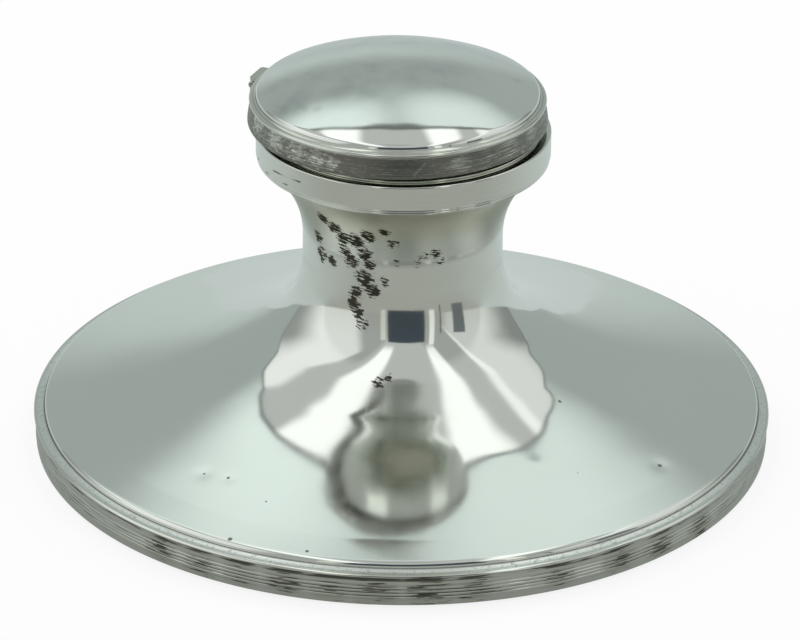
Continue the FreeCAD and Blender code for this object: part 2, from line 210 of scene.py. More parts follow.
def hollowness(points, reach=0.4, full=0.12):
    """Per point, 0 on a ridge, 0.5 on a flat and 1 in a hollow, from the chord to either side."""
    ring = np.array(points + points[:1])
    along = np.concatenate([[0], np.cumsum(np.linalg.norm(np.diff(ring, axis=0), axis=1))])
    values = []
    for k, point in enumerate(points):
        ends = [np.array([np.interp((along[k] + side) % along[-1], along, ring[:, axis]) for axis in (0, 1)])
                for side in (-reach, reach)]
        chord = ends[1] - ends[0]
        gap = np.array(point) - ends[0]
        depth = (chord[0] * gap[1] - chord[1] * gap[0]) / max(math.hypot(*chord), 1e-6)
        values.append(float(np.clip(0.5 + 0.5 * depth / full, 0, 1)))
    return values


def smooth(piece):
    """Shades a piece smooth, with normals that follow its large faces."""
    piece.data.shade_smooth()
    piece.modifiers.new("large faces lead", "WEIGHTED_NORMAL").weight = 75


def lathe(name, section, steps=480, soft=0.08, about=Matrix.Identity(4)):
    """A closed piece turned from a section, about Z or about the axis that a matrix carries Z to."""
    outline = softened(without_repeats(section.points), soft)
    hollow = hollowness(outline)
    turn = [2 * math.pi * k / steps for k in range(steps)]
    verts, rows, stored = [], [], []
    for (r, z), value in zip(outline, hollow):
        spread = steps if r > 1e-6 else 1
        rows.append([len(verts) + k % spread for k in range(steps)])
        verts += [(r * math.cos(a) * mm, r * math.sin(a) * mm, z * mm) for a in turn[:spread]]
        stored += [value] * spread
    faces = []
    for low, high in zip(rows, rows[1:] + rows[:1]):
        for k in range(steps):
            corners = [low[k], low[(k + 1) % steps], high[(k + 1) % steps], high[k]]
            face = list(dict.fromkeys(corners))
            if len(face) > 2:
                faces.append(face)
    mesh = bpy.data.meshes.new(name)
    mesh.from_pydata([about @ Vector(v) for v in verts], [], faces)
    mesh.attributes.new("hollow", "FLOAT", "POINT").data.foreach_set("value", stored)
    piece = bpy.data.objects.new(name, mesh)
    scene.collection.objects.link(piece)
    smooth(piece)
    return piece


def stray(piece, *nodes):
    """How far a skin's points lie from the CAD nodes that it stands for, at most, in millimetres."""
    return max(min(trees[node].find_nearest(v.co)[3] for node in nodes) for v in piece.data.vertices) / mm


def dress(piece, body, slot, *nodes):
    """Hangs a piece on its body and hides the CAD nodes that it stands for. The slot is not used."""
    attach(piece, body)
    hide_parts(*nodes)
    gap = stray(piece, *nodes)
    print(f"{piece.name}: {len(piece.data.vertices)} points, at most {gap:.3f} mm from the CAD")


def box_mm(node):
    """A node's lowest and highest corner in millimetres."""
    low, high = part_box(node)
    return low / mm, high / mm


# %% [markdown]
# ## The spun body
# One sheet was spun over a former into the foot, the neck and the mouth, so its section is a chain of
# circles that run into one another. A curve drawn by eye would show kinks in the reflections at once,
# because polished metal repeats every error of slope twice. The centres below follow from the tangents.

# %% Section of the body
sheet = 0.7
edge_bend = 0.2
solder_gap = 0.03
body_edge_rise = 0.1
foot_slope = 14.6
foot_sweep = 265.0
foot_rise_start = 31.3
foot_rise = 36.5
neck_flare = 16.4
neck_radius = 17.5
neck_straight = 3.88
mouth_flare = 18.4
mouth_radius = 24.3

rim_low, rim_high = box_mm("base_rim")
body_low, body_high = box_mm("body_shell")
rim_seat = body_low.z
rim_ledge_top = rim_high.z
body_top = body_high.z
body_edge_radius = body_high.x
bend = edge_bend + sheet
bend_centre = (body_edge_radius - bend, rim_ledge_top + body_edge_rise)


def spot(centre, radius, degrees):
    """The point of a circle in the section."""
    angle = math.radians(degrees)
    return (centre[0] + radius * math.cos(angle), centre[1] + radius * math.sin(angle))


foot_top = spot(bend_centre, bend, 90 - foot_slope)
sweep_centre = spot(foot_top, foot_sweep, 90 - foot_slope)
rise_slope = math.degrees(math.asin((sweep_centre[0] - foot_rise_start) / foot_sweep))
rise_centre = spot(sweep_centre, foot_sweep - foot_rise, 270 - rise_slope)
flare_slope = math.degrees(math.asin((rise_centre[0] - neck_radius - neck_flare) / (foot_rise - neck_flare)))
flare_centre = spot(rise_centre, foot_rise - neck_flare, 270 - flare_slope)
neck_bottom = flare_centre[1]
neck_top = neck_bottom + neck_straight
mouth_centre = (neck_radius + mouth_flare, neck_top)
mouth_turn = math.degrees(math.acos((mouth_centre[0] - mouth_radius) / mouth_flare))
inside_turn = math.degrees(math.acos((mouth_centre[0] - mouth_radius + sheet) / (mouth_flare + sheet)))

body_section = Section(body_edge_radius, rim_seat)
body_section.line(body_edge_radius, bend_centre[1], 2)
body_section.arc(bend_centre, bend, 0, 90 - foot_slope, 8)
body_section.arc(sweep_centre, foot_sweep, 270 - foot_slope, 270 - rise_slope, 90)
body_section.arc(rise_centre, foot_rise, 270 - rise_slope, 270 - flare_slope, 20)
body_section.arc(flare_centre, neck_flare, 270 - flare_slope, 180, 44)
body_section.line(neck_radius, neck_top, 7)
body_section.arc(mouth_centre, mouth_flare, 180, 180 - mouth_turn, 44)
body_section.line(mouth_radius, body_top, 6)
body_section.line(mouth_radius - sheet, body_top)
body_section.arc(mouth_centre, mouth_flare + sheet, 180 - inside_turn, 180, 20)
body_section.arc(flare_centre, neck_flare + sheet, 180, 270 - flare_slope, 16)
body_section.arc(rise_centre, foot_rise + sheet, 270 - flare_slope, 270 - rise_slope, 8)
body_section.arc(sweep_centre, foot_sweep + sheet, 270 - rise_slope, 270 - foot_slope, 30)
body_section.arc(bend_centre, edge_bend, 90 - foot_slope, 0, 3)
body_section.line(body_edge_radius - sheet, rim_seat)
body = lathe("silver_body", body_section)
print(f"neck from {neck_bottom:.2f} to {neck_top:.2f} mm, flare slope {flare_slope:.1f} degrees")

# %% [markdown]
# ## Dents and uneven sheet
# Hand-finished silver is never quite true, and a century of use leaves knocks. Bump maps could fake it,
# but the outline and the mirror image should both move, so the points themselves are pressed. The field
# is smooth noise a few hundredths of a millimetre deep, plus round knocks where the photograph shows
# them. The foot as a whole strays from its circles in two slow bows, a few tenths of a millimetre high.

# %% Press the body
knock_marks = [(204, 473, 1.5, 0.05), (229, 478, 1.2, 0.04), (539, 466, 2.4, 0.08), (660, 465, 1.6, 0.05),
               (560, 350, 3.5, 0.08), (500, 450, 5.0, 0.10), (300, 300, 4.0, 0.10), (625, 400, 3.0, 0.05)]
slow_wave = 0.11
short_wave = 0.045
root_wave = 0.026
root_radius = 40
foot_bows = [(0.563, 26.5, 6.9), (-0.215, 39.25, 10.8)]


def press(piece, depth_at, way=None):
    """Pushes the outer points of a piece by depth_at, in millimetres, inwards or against a given way."""
    normals = [n.vector.copy() for n in piece.data.vertex_normals]
    for vertex, normal in zip(piece.data.vertices, normals):
        outwards = Vector((vertex.co.x, vertex.co.y, 0)).normalized() + up
        if normal.dot(outwards) > 0:
            vertex.co -= (way or normal) * depth_at(vertex.co / mm) * mm


def waves(point, length, seed):
    """Smooth noise between 0 and 1 with bumps of a given length."""
    return 0.5 + 0.5 * noise.noise(point / length + Vector((seed, seed, seed)))


def knock(point, place, radius, depth):
    """A round dent of a given depth."""
    return depth * math.exp(-((point - place).length / radius) ** 2)


def kept(share):
    """A share held between 0 and 1."""
    return min(1, max(0, share))


knock_places = [(seen_at("body_shell", px, py) / mm, radius, depth) for px, py, radius, depth in knock_marks]


def body_depth(point):
    """Unevenness of the spun body and its knocks, faded out where it meets the rim and the collar."""
    held = kept((point.z - rim_ledge_top - 0.3) / 2) * kept((body_top - 4.5 - point.z) / 3)
    root = kept((root_radius - math.hypot(point.x, point.y)) / 8) * kept((neck_bottom - point.z) / 4)
    uneven = slow_wave * waves(point, 22, 3.1) + short_wave * waves(point, 9, 7.7)
    uneven += root_wave * root * waves(point, 4.5, 4.4)
    return held * (uneven + sum(knock(point, *place) for place in knock_places))


def foot_bow(point):
    """How far the foot lies under its circles, in bows of a height, a middle radius and a reach."""
    if point.z > neck_bottom:
        return 0
    radius = math.hypot(point.x, point.y)
    return -sum(height * math.exp(-((radius - middle) / reach) ** 2) for height, middle, reach in foot_bows)


press(body, foot_bow, up)
press(body, body_depth)
dress(body, "base", "body_silver", "body_shell")

# %% [markdown]
# ## The reeded rim
# A drawn wire with fine reeds, a bead and a hollow ledge was soldered round the foot to stiffen it. Its
# bottom edge is turned in under the board. The reeds are real grooves in the section, not a bump, because
# they break up the outline of the rim when it is seen close.

# %% Rim of the foot
rim_bead_proud = 0.3
rim_band_height = 5.1
rim_corner = 0.35
rim_reed_pitch = 0.62
rim_reed_depth = 0.08
rim_reed_start = 1.2
rim_reed_stop = 0.95
rim_bead_height = 0.7
rim_ledge_hollow = 0.14
rim_seat_inset = 0.6
rim_lip_reach = 1.6
rim_lip_thickness = 0.7

foot_radius = rim_high.x
rim_bottom = rim_low.z
rim_radius = foot_radius - rim_bead_proud
rim_band_top = rim_bottom + rim_band_height
rim_inner = body_edge_radius - sheet - rim_seat_inset
board_bottom = rim_bottom + rim_lip_thickness


def reed(section, radius_at, start, stop, pitch, depth):
    """Half-round reeds up a band, as many as fit."""
    section.line(radius_at(start), start)
    count = int((stop - start) / pitch + 1e-6)
    for k in range(1, count + 1):
        section.bow(radius_at(start + k * pitch), start + k * pitch, depth, 7)
    return section


rim_section = Section(rim_inner - rim_lip_reach, rim_bottom)
rim_section.line(rim_radius - rim_corner, rim_bottom, 2)
rim_section.arc((rim_radius - rim_corner, rim_bottom + rim_corner), rim_corner, -90, 0, 5)
reed(rim_section, lambda level: rim_radius, rim_bottom + rim_reed_start, rim_band_top - rim_reed_stop,
     rim_reed_pitch, rim_reed_depth)
rim_section.line(rim_radius, rim_band_top, 2)
rim_section.bow(rim_radius, rim_band_top + rim_bead_height, rim_bead_proud, 10)
rim_section.bow(body_edge_radius + solder_gap, rim_ledge_top, -rim_ledge_hollow, 8)
rim_section.line(body_edge_radius + solder_gap, rim_seat)
rim_section.line(rim_inner, rim_seat)
rim_section.line(rim_inner, board_bottom, 3)
rim_section.line(rim_inner - rim_lip_reach, board_bottom)
rim = lathe("silver_rim", rim_section, steps=600, soft=0.06)
dress(rim, "base", "rim_silver", "base_rim")

# %% [markdown]
# ## Collar and mouth ring
# The collar is a plain band with two reeds under it, soldered round the mouth. The ring inside it stands
# a little higher: the lid shuts over it, and its ledge carries the glass. Both are turned like the body.

# %% Collar and mouth ring
collar_foot_height = 0.9
collar_foot_step = 0.12
collar_foot_taper = 0.2
collar_reed_pitch = 0.45
collar_reed_depth = 0.1
collar_top_round = 0.3
ring_flange = 1.6
ring_flange_thickness = 0.4
ring_wall = 0.8
ring_clearance = 0.1
ledge_thickness = 0.8

collar_low, collar_high = box_mm("collar")
ring_low, ring_high = box_mm("mouth_ring")
collar_radius = collar_high.x
collar_top = collar_high.z
collar_band_bottom = collar_low.z + collar_foot_height
ring_radius = ring_high.x - ring_flange
ring_inner = ring_radius - ring_wall
ring_ledge_top = ring_low.z + ledge_thickness
ring_ledge_inner = min(math.hypot(v.co.x, v.co.y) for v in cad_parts["mouth_ring"].data.vertices) / mm


def collar_foot_radius(level):
    """The reeds under the band lie behind it and draw in downwards."""
    drawn_in = collar_foot_taper * (collar_band_bottom - level) / collar_foot_height
    return collar_radius - collar_foot_step - drawn_in


collar_section = Section(mouth_radius + solder_gap, collar_low.z)
reed(collar_section, collar_foot_radius, collar_low.z, collar_band_bottom,
     collar_reed_pitch, collar_reed_depth)
collar_section.line(collar_radius, collar_band_bottom)
collar_section.line(collar_radius, collar_top - collar_top_round, 8)
round_centre = (collar_radius - collar_top_round, collar_top - collar_top_round)
collar_section.arc(round_centre, collar_top_round, 0, 90, 6)
collar_section.line(ring_radius + ring_clearance, collar_top, 3)
collar_section.line(ring_radius + ring_clearance, body_top)
collar_section.line(mouth_radius + solder_gap, body_top)
collar = lathe("silver_collar", collar_section, steps=400)

ring_section = Section(ring_ledge_inner, ring_low.z)
ring_section.line(ring_radius, ring_low.z)
ring_section.line(ring_radius, collar_top, 2)
ring_section.line(ring_radius + ring_flange, collar_top)
ring_section.line(ring_radius + ring_flange, collar_top + ring_flange_thickness)
ring_section.line(ring_radius, collar_top + ring_flange_thickness)
ring_section.line(ring_radius, ring_high.z)
ring_section.line(ring_inner, ring_high.z)
ring_section.line(ring_inner, ring_ledge_top, 2)
ring_section.line(ring_ledge_inner, ring_ledge_top)
ring = lathe("silver_mouth_ring", ring_section, steps=320)


def collar_depth(point):
    """The collar is a little uneven round its band, and true where it is soldered."""
    inside = math.hypot(point.x, point.y) < collar_radius - 0.8
    return 0 if inside else 0.06 * waves(point, 12, 5.3)


press(collar, collar_depth)
dress(collar, "base", "body_silver", "collar")
dress(ring, "base", "body_silver", "mouth_ring")

# %% [markdown]
# ## The lid
# The lid is a reeded band with a bead and a ledge, a domed sheet let into it, and a flat plate that
# closes it from below. It sits a little towards its hinge. The dome shows a slow wave, so it gets a field
# of its own.

# %% Lid band, dome and lining
lid_overhang = 0.42
lid_taper = 0.52
lid_band_height = 3.75
lid_corner = 0.25
lid_reed_pitch = 0.42
lid_reed_depth = 0.04
lid_reed_start = 0.45
lid_reed_stop = 1.5
lid_bead_height = 0.65
lid_bead_proud = 0.2
lid_ledge_hollow = 0.12
lid_wall = 1.1
lid_seat_thickness = 0.7
lid_seat_reach = 0.8
dome_edge_rise = 0.15
dome_radius = 56.0

lid_low, lid_high = box_mm("lid_rim")
dome_low, dome_high = box_mm("lid_dome")
lining_low, lining_high = box_mm("lid_lining")
lid_axis = (lid_low.y + lid_high.y) / 2
lid_place = Matrix.Translation(Vector((0, lid_axis, 0)) * mm)
lid_radius = collar_radius + lid_overhang
lid_bottom = lid_low.z
lid_band_top = lid_bottom + lid_band_height
lid_bead_top = lid_band_top + lid_bead_height
lid_ledge_top = lid_high.z
lid_seat = dome_low.z
lid_top_radius = lid_radius - lid_taper
lid_inner = lid_top_radius - lid_wall
lid_rim_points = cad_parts["lid_rim"].data.vertices
lid_opening = min(math.hypot(v.co.x, v.co.y - lid_axis * mm) for v in lid_rim_points) / mm
dome_edge = dome_high.x
dome_bend_centre = (dome_edge - bend, lid_ledge_top + dome_edge_rise)
dome_slope = math.degrees(math.asin(dome_bend_centre[0] / (dome_radius - bend)))
dome_centre = (0, dome_bend_centre[1] - (dome_radius - bend) * math.cos(math.radians(dome_slope)))


def lid_band_radius(level):
    """The band draws in towards the top."""
    return lid_radius - lid_taper * (level - lid_bottom) / lid_band_height


corner_radius = lid_band_radius(lid_bottom + lid_corner)
lid_section = Section(lid_opening, lid_bottom)
lid_section.line(corner_radius - lid_corner, lid_bottom, 2)
lid_section.arc((corner_radius - lid_corner, lid_bottom + lid_corner), lid_corner, -90, 0, 5)
reed(lid_section, lid_band_radius, lid_bottom + lid_reed_start, lid_band_top - lid_reed_stop,
     lid_reed_pitch, lid_reed_depth)
lid_section.line(lid_top_radius, lid_band_top, 4)
lid_section.bow(lid_top_radius, lid_bead_top, lid_bead_proud, 10)
lid_section.bow(dome_edge + solder_gap, lid_ledge_top, -lid_ledge_hollow, 8)
lid_section.line(dome_edge + solder_gap, lid_seat)
lid_section.line(dome_edge - lid_seat_reach, lid_seat)
lid_section.line(dome_edge - lid_seat_reach, lid_seat - lid_seat_thickness)
lid_section.line(lid_inner, lid_seat - lid_seat_thickness)
lid_section.line(lid_inner, lining_low.z)
lid_section.line(lid_opening, lining_low.z)
lid_band = lathe("silver_lid_band", lid_section, steps=480, soft=0.05, about=lid_place)

dome_section = Section(dome_edge, lid_seat)
dome_section.line(dome_edge, dome_bend_centre[1], 2)
dome_section.arc(dome_bend_centre, bend, 0, 90 - dome_slope, 8)
dome_section.arc(dome_centre, dome_radius, 90 - dome_slope, 90, 60)
dome_section.arc(dome_centre, dome_radius - sheet, 90, 90 - dome_slope, 20)
dome_section.arc(dome_bend_centre, edge_bend, 90 - dome_slope, 0, 3)
dome_section.line(dome_edge - sheet, lid_seat)
dome = lathe("silver_lid_dome", dome_section, steps=360, soft=0.05, about=lid_place)

lining_section = Section(0, lining_low.z)
lining_section.line(lining_high.x, lining_low.z, 24)
lining_section.line(lining_high.x, lining_high.z)
lining_section.line(0, lining_high.z, 6)
lining = lathe("silver_lid_lining", lining_section, steps=240, about=lid_place)


def dome_depth(point):
    """Slow waves in the dome, held at its edge."""
    reach = math.hypot(point.x, point.y - lid_axis)
    held = kept((dome_edge - 0.6 - reach) / 4)
    return held * (0.07 * waves(point, 13, 2.3) + 0.02 * waves(point, 6, 8.8))


press(dome, dome_depth)
dress(lid_band, "lid", "lid_silver", "lid_rim")
dress(dome, "lid", "lid_silver", "lid_dome")
dress(lining, "lid", "lining_silver", "lid_lining")

# %% [markdown]
# ## The barrel hinge
# Two knuckles on a bracket and one under the lid's strap turn on a steel pin. The knuckles are lathe work
# laid on its side. The bracket and the strap are flat stock, so their CAD faces are kept and their edges
# broken with a bevel, which is what a file leaves.

# %% Hinge pieces
knuckle_bevel = 0.1
filed_edge = 0.09
across_axis = Matrix.Rotation(math.radians(90), 4, "Y")


def filed(name, node, body, slot):
    """A copy of a flat CAD piece with its edges broken."""
    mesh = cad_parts[node].data.copy()
    mesh.materials.clear()
    piece = bpy.data.objects.new(name, mesh)
    scene.collection.objects.link(piece)
    piece.modifiers.new("one skin", "WELD").merge_threshold = 0.001 * mm
    flat = piece.modifiers.new("whole faces", "DECIMATE")
    flat.decimate_type = "DISSOLVE"
    flat.angle_limit = math.radians(1)
    edge = piece.modifiers.new("broken edge", "BEVEL")
    edge.width = filed_edge * mm
    edge.segments = 3
    edge.limit_method = "ANGLE"
    edge.angle_limit = math.radians(40)
    smooth(piece)
    dress(piece, body, slot, node)
    return piece


def knuckle(name, node, body):
    """A short tube turned along the hinge, with bevelled ends."""
    low, high = box_mm(node)
    middle = (low + high) / 2
    radius = (high.z - low.z) / 2
    rim_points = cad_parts[node].data.vertices
    bore = min(math.hypot(v.co.y - middle.y * mm, v.co.z - middle.z * mm) for v in rim_points) / mm
    half = (high.x - low.x) / 2
    section = Section(bore, -half)
    section.line(radius, -half)
    section.line(radius, half, 6)
    section.line(bore, half)
    lying = Matrix.Translation(middle * mm) @ across_axis
    piece = lathe(name, section, steps=64, soft=knuckle_bevel, about=lying)
    dress(piece, body, "hinge_silver", node)
    return piece


hinge_pieces = [
    filed("hinge_bracket_filed", "hinge_bracket", "base", "hinge_silver"),
    filed("hinge_strap_filed", "hinge_strap", "lid", "hinge_silver"),
    knuckle("hinge_knuckle_left_turned", "hinge_knuckle_left", "base"),
    knuckle("hinge_knuckle_right_turned", "hinge_knuckle_right", "base"),
    knuckle("hinge_knuckle_lid_turned", "hinge_knuckle_lid", "lid"),
]

# %% [markdown]
# ## The glass ink pot
# The pot was pressed in a mould: thick walls, a heavy floor and a rolled mouth. Glass shows both its
# faces, so the section is closed with the true wall, and light bends through it as through the real one.

# %% Ink pot
glass_wall = 2.7
glass_floor = 4.2
glass_floor_round = 5.0
glass_mouth_round = 1.6
glass_flange_round = 0.6
glass_shoulder = 15.0
glass_ledge_clearance = 0.4

pot_low, pot_high = box_mm("glass_liner")
pot_points = [v.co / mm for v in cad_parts["glass_liner"].data.vertices]
glass_radius = max(math.hypot(p.x, p.y) for p in pot_points if p.z < ring_ledge_top - glass_shoulder)
pot_flange = pot_high.x
pot_top = pot_high.z
pot_inner = glass_radius - glass_wall
pot_floor = pot_low.z + glass_floor
shoulder_round = ring_ledge_inner - glass_ledge_clearance - glass_radius
shoulder_centre = (glass_radius + shoulder_round, ring_ledge_top - shoulder_round)

pot_section = Section(0, pot_low.z)
pot_section.line(glass_radius - glass_floor_round, pot_low.z, 8)
foot_centre = (glass_radius - glass_floor_round, pot_low.z + glass_floor_round)
pot_section.arc(foot_centre, glass_floor_round, -90, 0, 12)
pot_section.line(glass_radius, shoulder_centre[1], 8)
pot_section.arc(shoulder_centre, shoulder_round, 180, 90, 8)
pot_section.line(pot_flange, ring_ledge_top)
pot_section.line(pot_flange, pot_top - glass_flange_round)
flange_centre = (pot_flange - glass_flange_round, pot_top - glass_flange_round)
pot_section.arc(flange_centre, glass_flange_round, 0, 90, 6)
mouth_round_centre = (pot_inner + glass_mouth_round, pot_top - glass_mouth_round)
pot_section.arc(mouth_round_centre, glass_mouth_round, 90, 180, 10)
pot_section.line(pot_inner, pot_floor + glass_floor_round, 8)
inside_centre = (pot_inner - glass_floor_round, pot_floor + glass_floor_round)
pot_section.arc(inside_centre, glass_floor_round, 0, -90, 12)
pot_section.line(0, pot_floor, 8)
pot = lathe("glass_ink_pot", pot_section, steps=200)
dress(pot, "ink_pot", "pot_glass", "glass_liner")

# %% [markdown]
# ## Felt under the foot
# A disc of felt cloth is glued to the board so that the foot doesn't scratch the desk. Its edge was cut
# with shears and its face is fuzzy, which a few hundredths of noise give.

# %% Felt disc
felt_low, felt_high = box_mm("base_felt")
felt_radius = felt_high.x
felt_section = Section(0, felt_low.z)
felt_section.line(felt_radius, felt_low.z, 60)
felt_section.line(felt_radius, felt_high.z, 3)
felt_section.line(0, felt_high.z, 12)
felt = lathe("felt_disc", felt_section, steps=360, soft=0.2)


def felt_fuzz(vertex):
    """The felt's face rises by a few hundredths, and its cut edge wanders inwards."""
    point = vertex.co / mm
    reach = math.hypot(point.x, point.y)
    if point.z < felt_low.z + 0.3:
        vertex.co.z += 0.12 * mm * waves(point, 1.6, 1.9)
    if reach > felt_radius - 0.5:
        inwards = 1 - 0.25 / felt_radius * waves(point, 4.0, 6.1)
        vertex.co.x *= inwards
        vertex.co.y *= inwards


for vertex in felt.data.vertices:
    felt_fuzz(vertex)
dress(felt, "base", "felt", "base_felt")

# %% [markdown]
# ## Writing shaders as sums
# A finish is a tree of nodes. Wiring them one by one hides the idea, so a small class wraps a socket and
# lets a mask be written as a sum: each operator adds one Math node. Every other node comes from one
# method, which sets the node's own settings first and then feeds its sockets.

# %% Shader helpers
def both_ways(operation):
    """An operator on a wire and its reflected form."""
    return (lambda wire, other: wire.maths(operation, wire, other),
            lambda wire, other: wire.maths(operation, other, wire))


class Wire:
    """A shader value that can be used in sums like a number."""

    def __init__(self, finish, socket):
        self.finish = finish
        self.socket = socket

    def maths(self, operation, first, second):
        return self.finish.add("ShaderNodeMath", {"operation": operation}, {0: first, 1: second})

    __add__, __radd__ = both_ways("ADD")
    __sub__, __rsub__ = both_ways("SUBTRACT")
    __mul__, __rmul__ = both_ways("MULTIPLY")
    __truediv__, __rtruediv__ = both_ways("DIVIDE")
    __or__, __ror__ = both_ways("MAXIMUM")

    def __abs__(self):
        return self.finish.add("ShaderNodeMath", {"operation": "ABSOLUTE"}, {0: self})


class Finish:
    """A node tree in the making, for a material or for the world."""

    def __init__(self, tree):
        self.tree = tree
        self.tree.nodes.clear()

    @staticmethod
    def pick(sockets, key):
        """A socket by its place or its name, among those in use."""
        used = [socket for socket in sockets if socket.enabled]
        if isinstance(key, int):
            return used[key]
        return next(socket for socket in used if socket.name == key)

    def add(self, kind, settings, sockets, output=0):
        """Adds a node, sets it up, feeds its sockets and returns one of its outputs."""
        node = self.tree.nodes.new(kind)
        for name, value in settings.items():
            setattr(node, name, value)
        for key, value in sockets.items():
            self.feed(self.pick(node.inputs, key), value)
        return Wire(self, self.pick(node.outputs, output)) if node.outputs else node

    def feed(self, socket, value):
        """Links a wire to a socket, or sets the socket's own value."""
        if isinstance(value, Wire):
            self.tree.links.new(value.socket, socket)
        elif socket.type == "RGBA":
            socket.default_value = (*value, 1)
        else:
            socket.default_value = value

    def mix(self, factor, first, second):
        """Goes from one colour to another."""
        return self.add("ShaderNodeMix", {"data_type": "RGBA"}, {"Factor": factor, "A": first, "B": second})

    def ramp(self, value, low, high):
        """0 below low, 1 above high and a smooth rise between; high may be the lower one."""
        rise = {"interpolation_type": "SMOOTHSTEP"}
        if low < high:
            return self.add("ShaderNodeMapRange", rise, {"Value": value, "From Min": low, "From Max": high})
        ends = {"Value": value, "From Min": high, "From Max": low, "To Min": 1.0, "To Max": 0.0}
        return self.add("ShaderNodeMapRange", rise, ends)

    def part(self, vector, direction):
        """How far a vector reaches along a direction."""
        sockets = {0: vector, 1: direction}
        return self.add("ShaderNodeVectorMath", {"operation": "DOT_PRODUCT"}, sockets, "Value")


class Coating(Finish):
    """The finish of a piece, with places given in millimetres of the shared frame."""

    def __init__(self, name):
        self.material = bpy.data.materials.new(name)
        self.material.use_nodes = True
        super().__init__(self.material.node_tree)
        metres = self.add("ShaderNodeTexCoord", {}, {}, "Object")
        enlarged = {"Vector": metres, "Scale": 1 / mm}
        self.here = self.add("ShaderNodeVectorMath", {"operation": "SCALE"}, enlarged)
        self.level = self.part(self.here, (0, 0, 1))
        self.hollow = self.add("ShaderNodeAttribute", {"attribute_name": "hollow"}, {}, "Fac")

    def grain(self, size, detail=2.0, stretch=(1, 1, 1), seed=0.0, rough=0.5):
        """Noise with grains of a given size in millimetres, drawn out along X, Y and Z by stretch."""
        scale = [1 / (size * s) for s in stretch]
        moved = {"Vector": self.here, "Location": (seed,) * 3, "Scale": scale}
        placed = self.add("ShaderNodeMapping", {}, moved)
        sockets = {"Vector": placed, "Scale": 1.0, "Detail": detail, "Roughness": rough}
        return self.add("ShaderNodeTexNoise", {}, sockets, "Fac")

    def strokes(self, run, cross, length, width, detail=4.0, seed=0.0):
        """Noise in dashes of a given length and width in millimetres, laid along one direction."""
        sides = ((run, length), (cross, width), (run.cross(cross), length))
        parts = [self.part(self.here, tuple(direction / size)) for direction, size in sides]
        placed = self.add("ShaderNodeCombineXYZ", {}, {0: parts[0] + seed, 1: parts[1], 2: parts[2]})
        sockets = {"Vector": placed, "Scale": 1.0, "Detail": detail, "Roughness": 0.65}
        return self.add("ShaderNodeTexNoise", {}, sockets, "Fac")

    def reach(self):
        """How far a place lies from the axis of the foot."""
        flat = self.add("ShaderNodeVectorMath", {"operation": "MULTIPLY"}, {0: self.here, 1: (1, 1, 0)})
        return self.add("ShaderNodeVectorMath", {"operation": "LENGTH"}, {0: flat}, "Value")

    def scratch(self, start, end, width):
        """A thin straight mark from one place to another: 1 along it and 0 past its width."""
        run = end - start
        gone = self.add("ShaderNodeVectorMath", {"operation": "SUBTRACT"}, {0: self.here, 1: start})
        along = self.part(gone, tuple(run / run.length_squared))
        share = self.add("ShaderNodeClamp", {}, {"Value": along})
        nearest = self.add("ShaderNodeVectorMath", {"operation": "SCALE"}, {"Vector": run, "Scale": share})
        gap = self.add("ShaderNodeVectorMath", {"operation": "DISTANCE"}, {0: gone, 1: nearest}, "Value")
        return self.ramp(gap, width, width * 0.3)

    def near(self, place, radius, soft=0.6):
        """1 at a place, falling to 0 at a radius."""
        gap = self.add("ShaderNodeVectorMath", {"operation": "DISTANCE"}, {0: self.here, 1: place}, "Value")
        return self.ramp(gap, radius, radius * (1 - soft))

    def patches(self, spots, soft=0.6):
        """The union of round spots, each a place and a radius."""
        union = self.near(*spots[0], soft)
        for spot_place, radius in spots[1:]:
            union = union | self.near(spot_place, radius, soft)
        return union

    def bump(self, height, depth):
        """Fine relief: height from 0 to 1 over a depth in millimetres."""
        return self.add("ShaderNodeBump", {}, {"Distance": depth * mm, "Height": height})

    def finish(self, **sockets):
        """Feeds the surface shader, whose sockets are named with _ for spaces, and closes the material."""
        named = {key.replace("_", " "): value for key, value in sockets.items()}
        shader = self.add("ShaderNodeBsdfPrincipled", {}, named)
        self.add("ShaderNodeOutputMaterial", {}, {"Surface": shader})
        print(f"{self.material.name}: {len(self.tree.nodes)} nodes")
        return self.material


def pixels(node, *marks):
    """Places in millimetres for marks of (x, y, radius), given as pixels of the photograph."""
    pixel = camera_distance / focal_pixels / mm
    return [(seen_at(node, px, py) / mm, radius * pixel) for px, py, radius in marks]


# %% [markdown]
# ## Silver, clean and tarnished
# Silver is a mirror with a pale neutral colour. Air lays a yellow-grey film on it, sulphur turns that
# brown and then black in sheltered places, and rubbing takes both off the ridges. So each silver finish
# is a mix of layers, bright, film and black, and only the masks differ from piece to piece.

# %% Silver layers
bright = (0.80, 0.83, 0.80)
film = (0.50, 0.51, 0.41)
# Grey film for the dome: haze, and on its back also painted shade.
grey_film_and_painted_shade = (0.36, 0.41, 0.41)
brown = (0.56, 0.53, 0.40)
black = (0.040, 0.034, 0.024)


def silver(coat, film_mask, black_mask, film_colour=film, polish=0.04, haze=0.10, dull=0.0):
    """Closes a coat as silver: a mirror, dulled by film and wear and blackened by sulphide. On the dome the
    film also carries painted shade.
    """
    colour = coat.mix(film_mask, bright, film_colour)
    colour = coat.mix(black_mask, colour, black)
    smear = coat.ramp(coat.grain(9.0, 4.0, seed=4.0), 0.42, 0.68)
    rough = polish + haze * (0.25 * smear + 0.65 * film_mask) + 0.4 * black_mask + dull
    rubbed = coat.grain(0.35, 3.0, stretch=(1, 1, 3), seed=2.0)
    return coat.finish(Base_Color=colour, Metallic=1.0, Roughness=rough, Normal=coat.bump(rubbed, 0.0006))


# %% [markdown]
# ### The body's wear
# The foot is the cleanest part. The neck kept a film that turns brown under the collar, and black scale
# clings to its front left in torn, slanting dashes. Noise stretched along the slant gives the dashes, and
# soft spots placed on the photograph's pixels say where they gather. A few pits and nicks mark the foot.

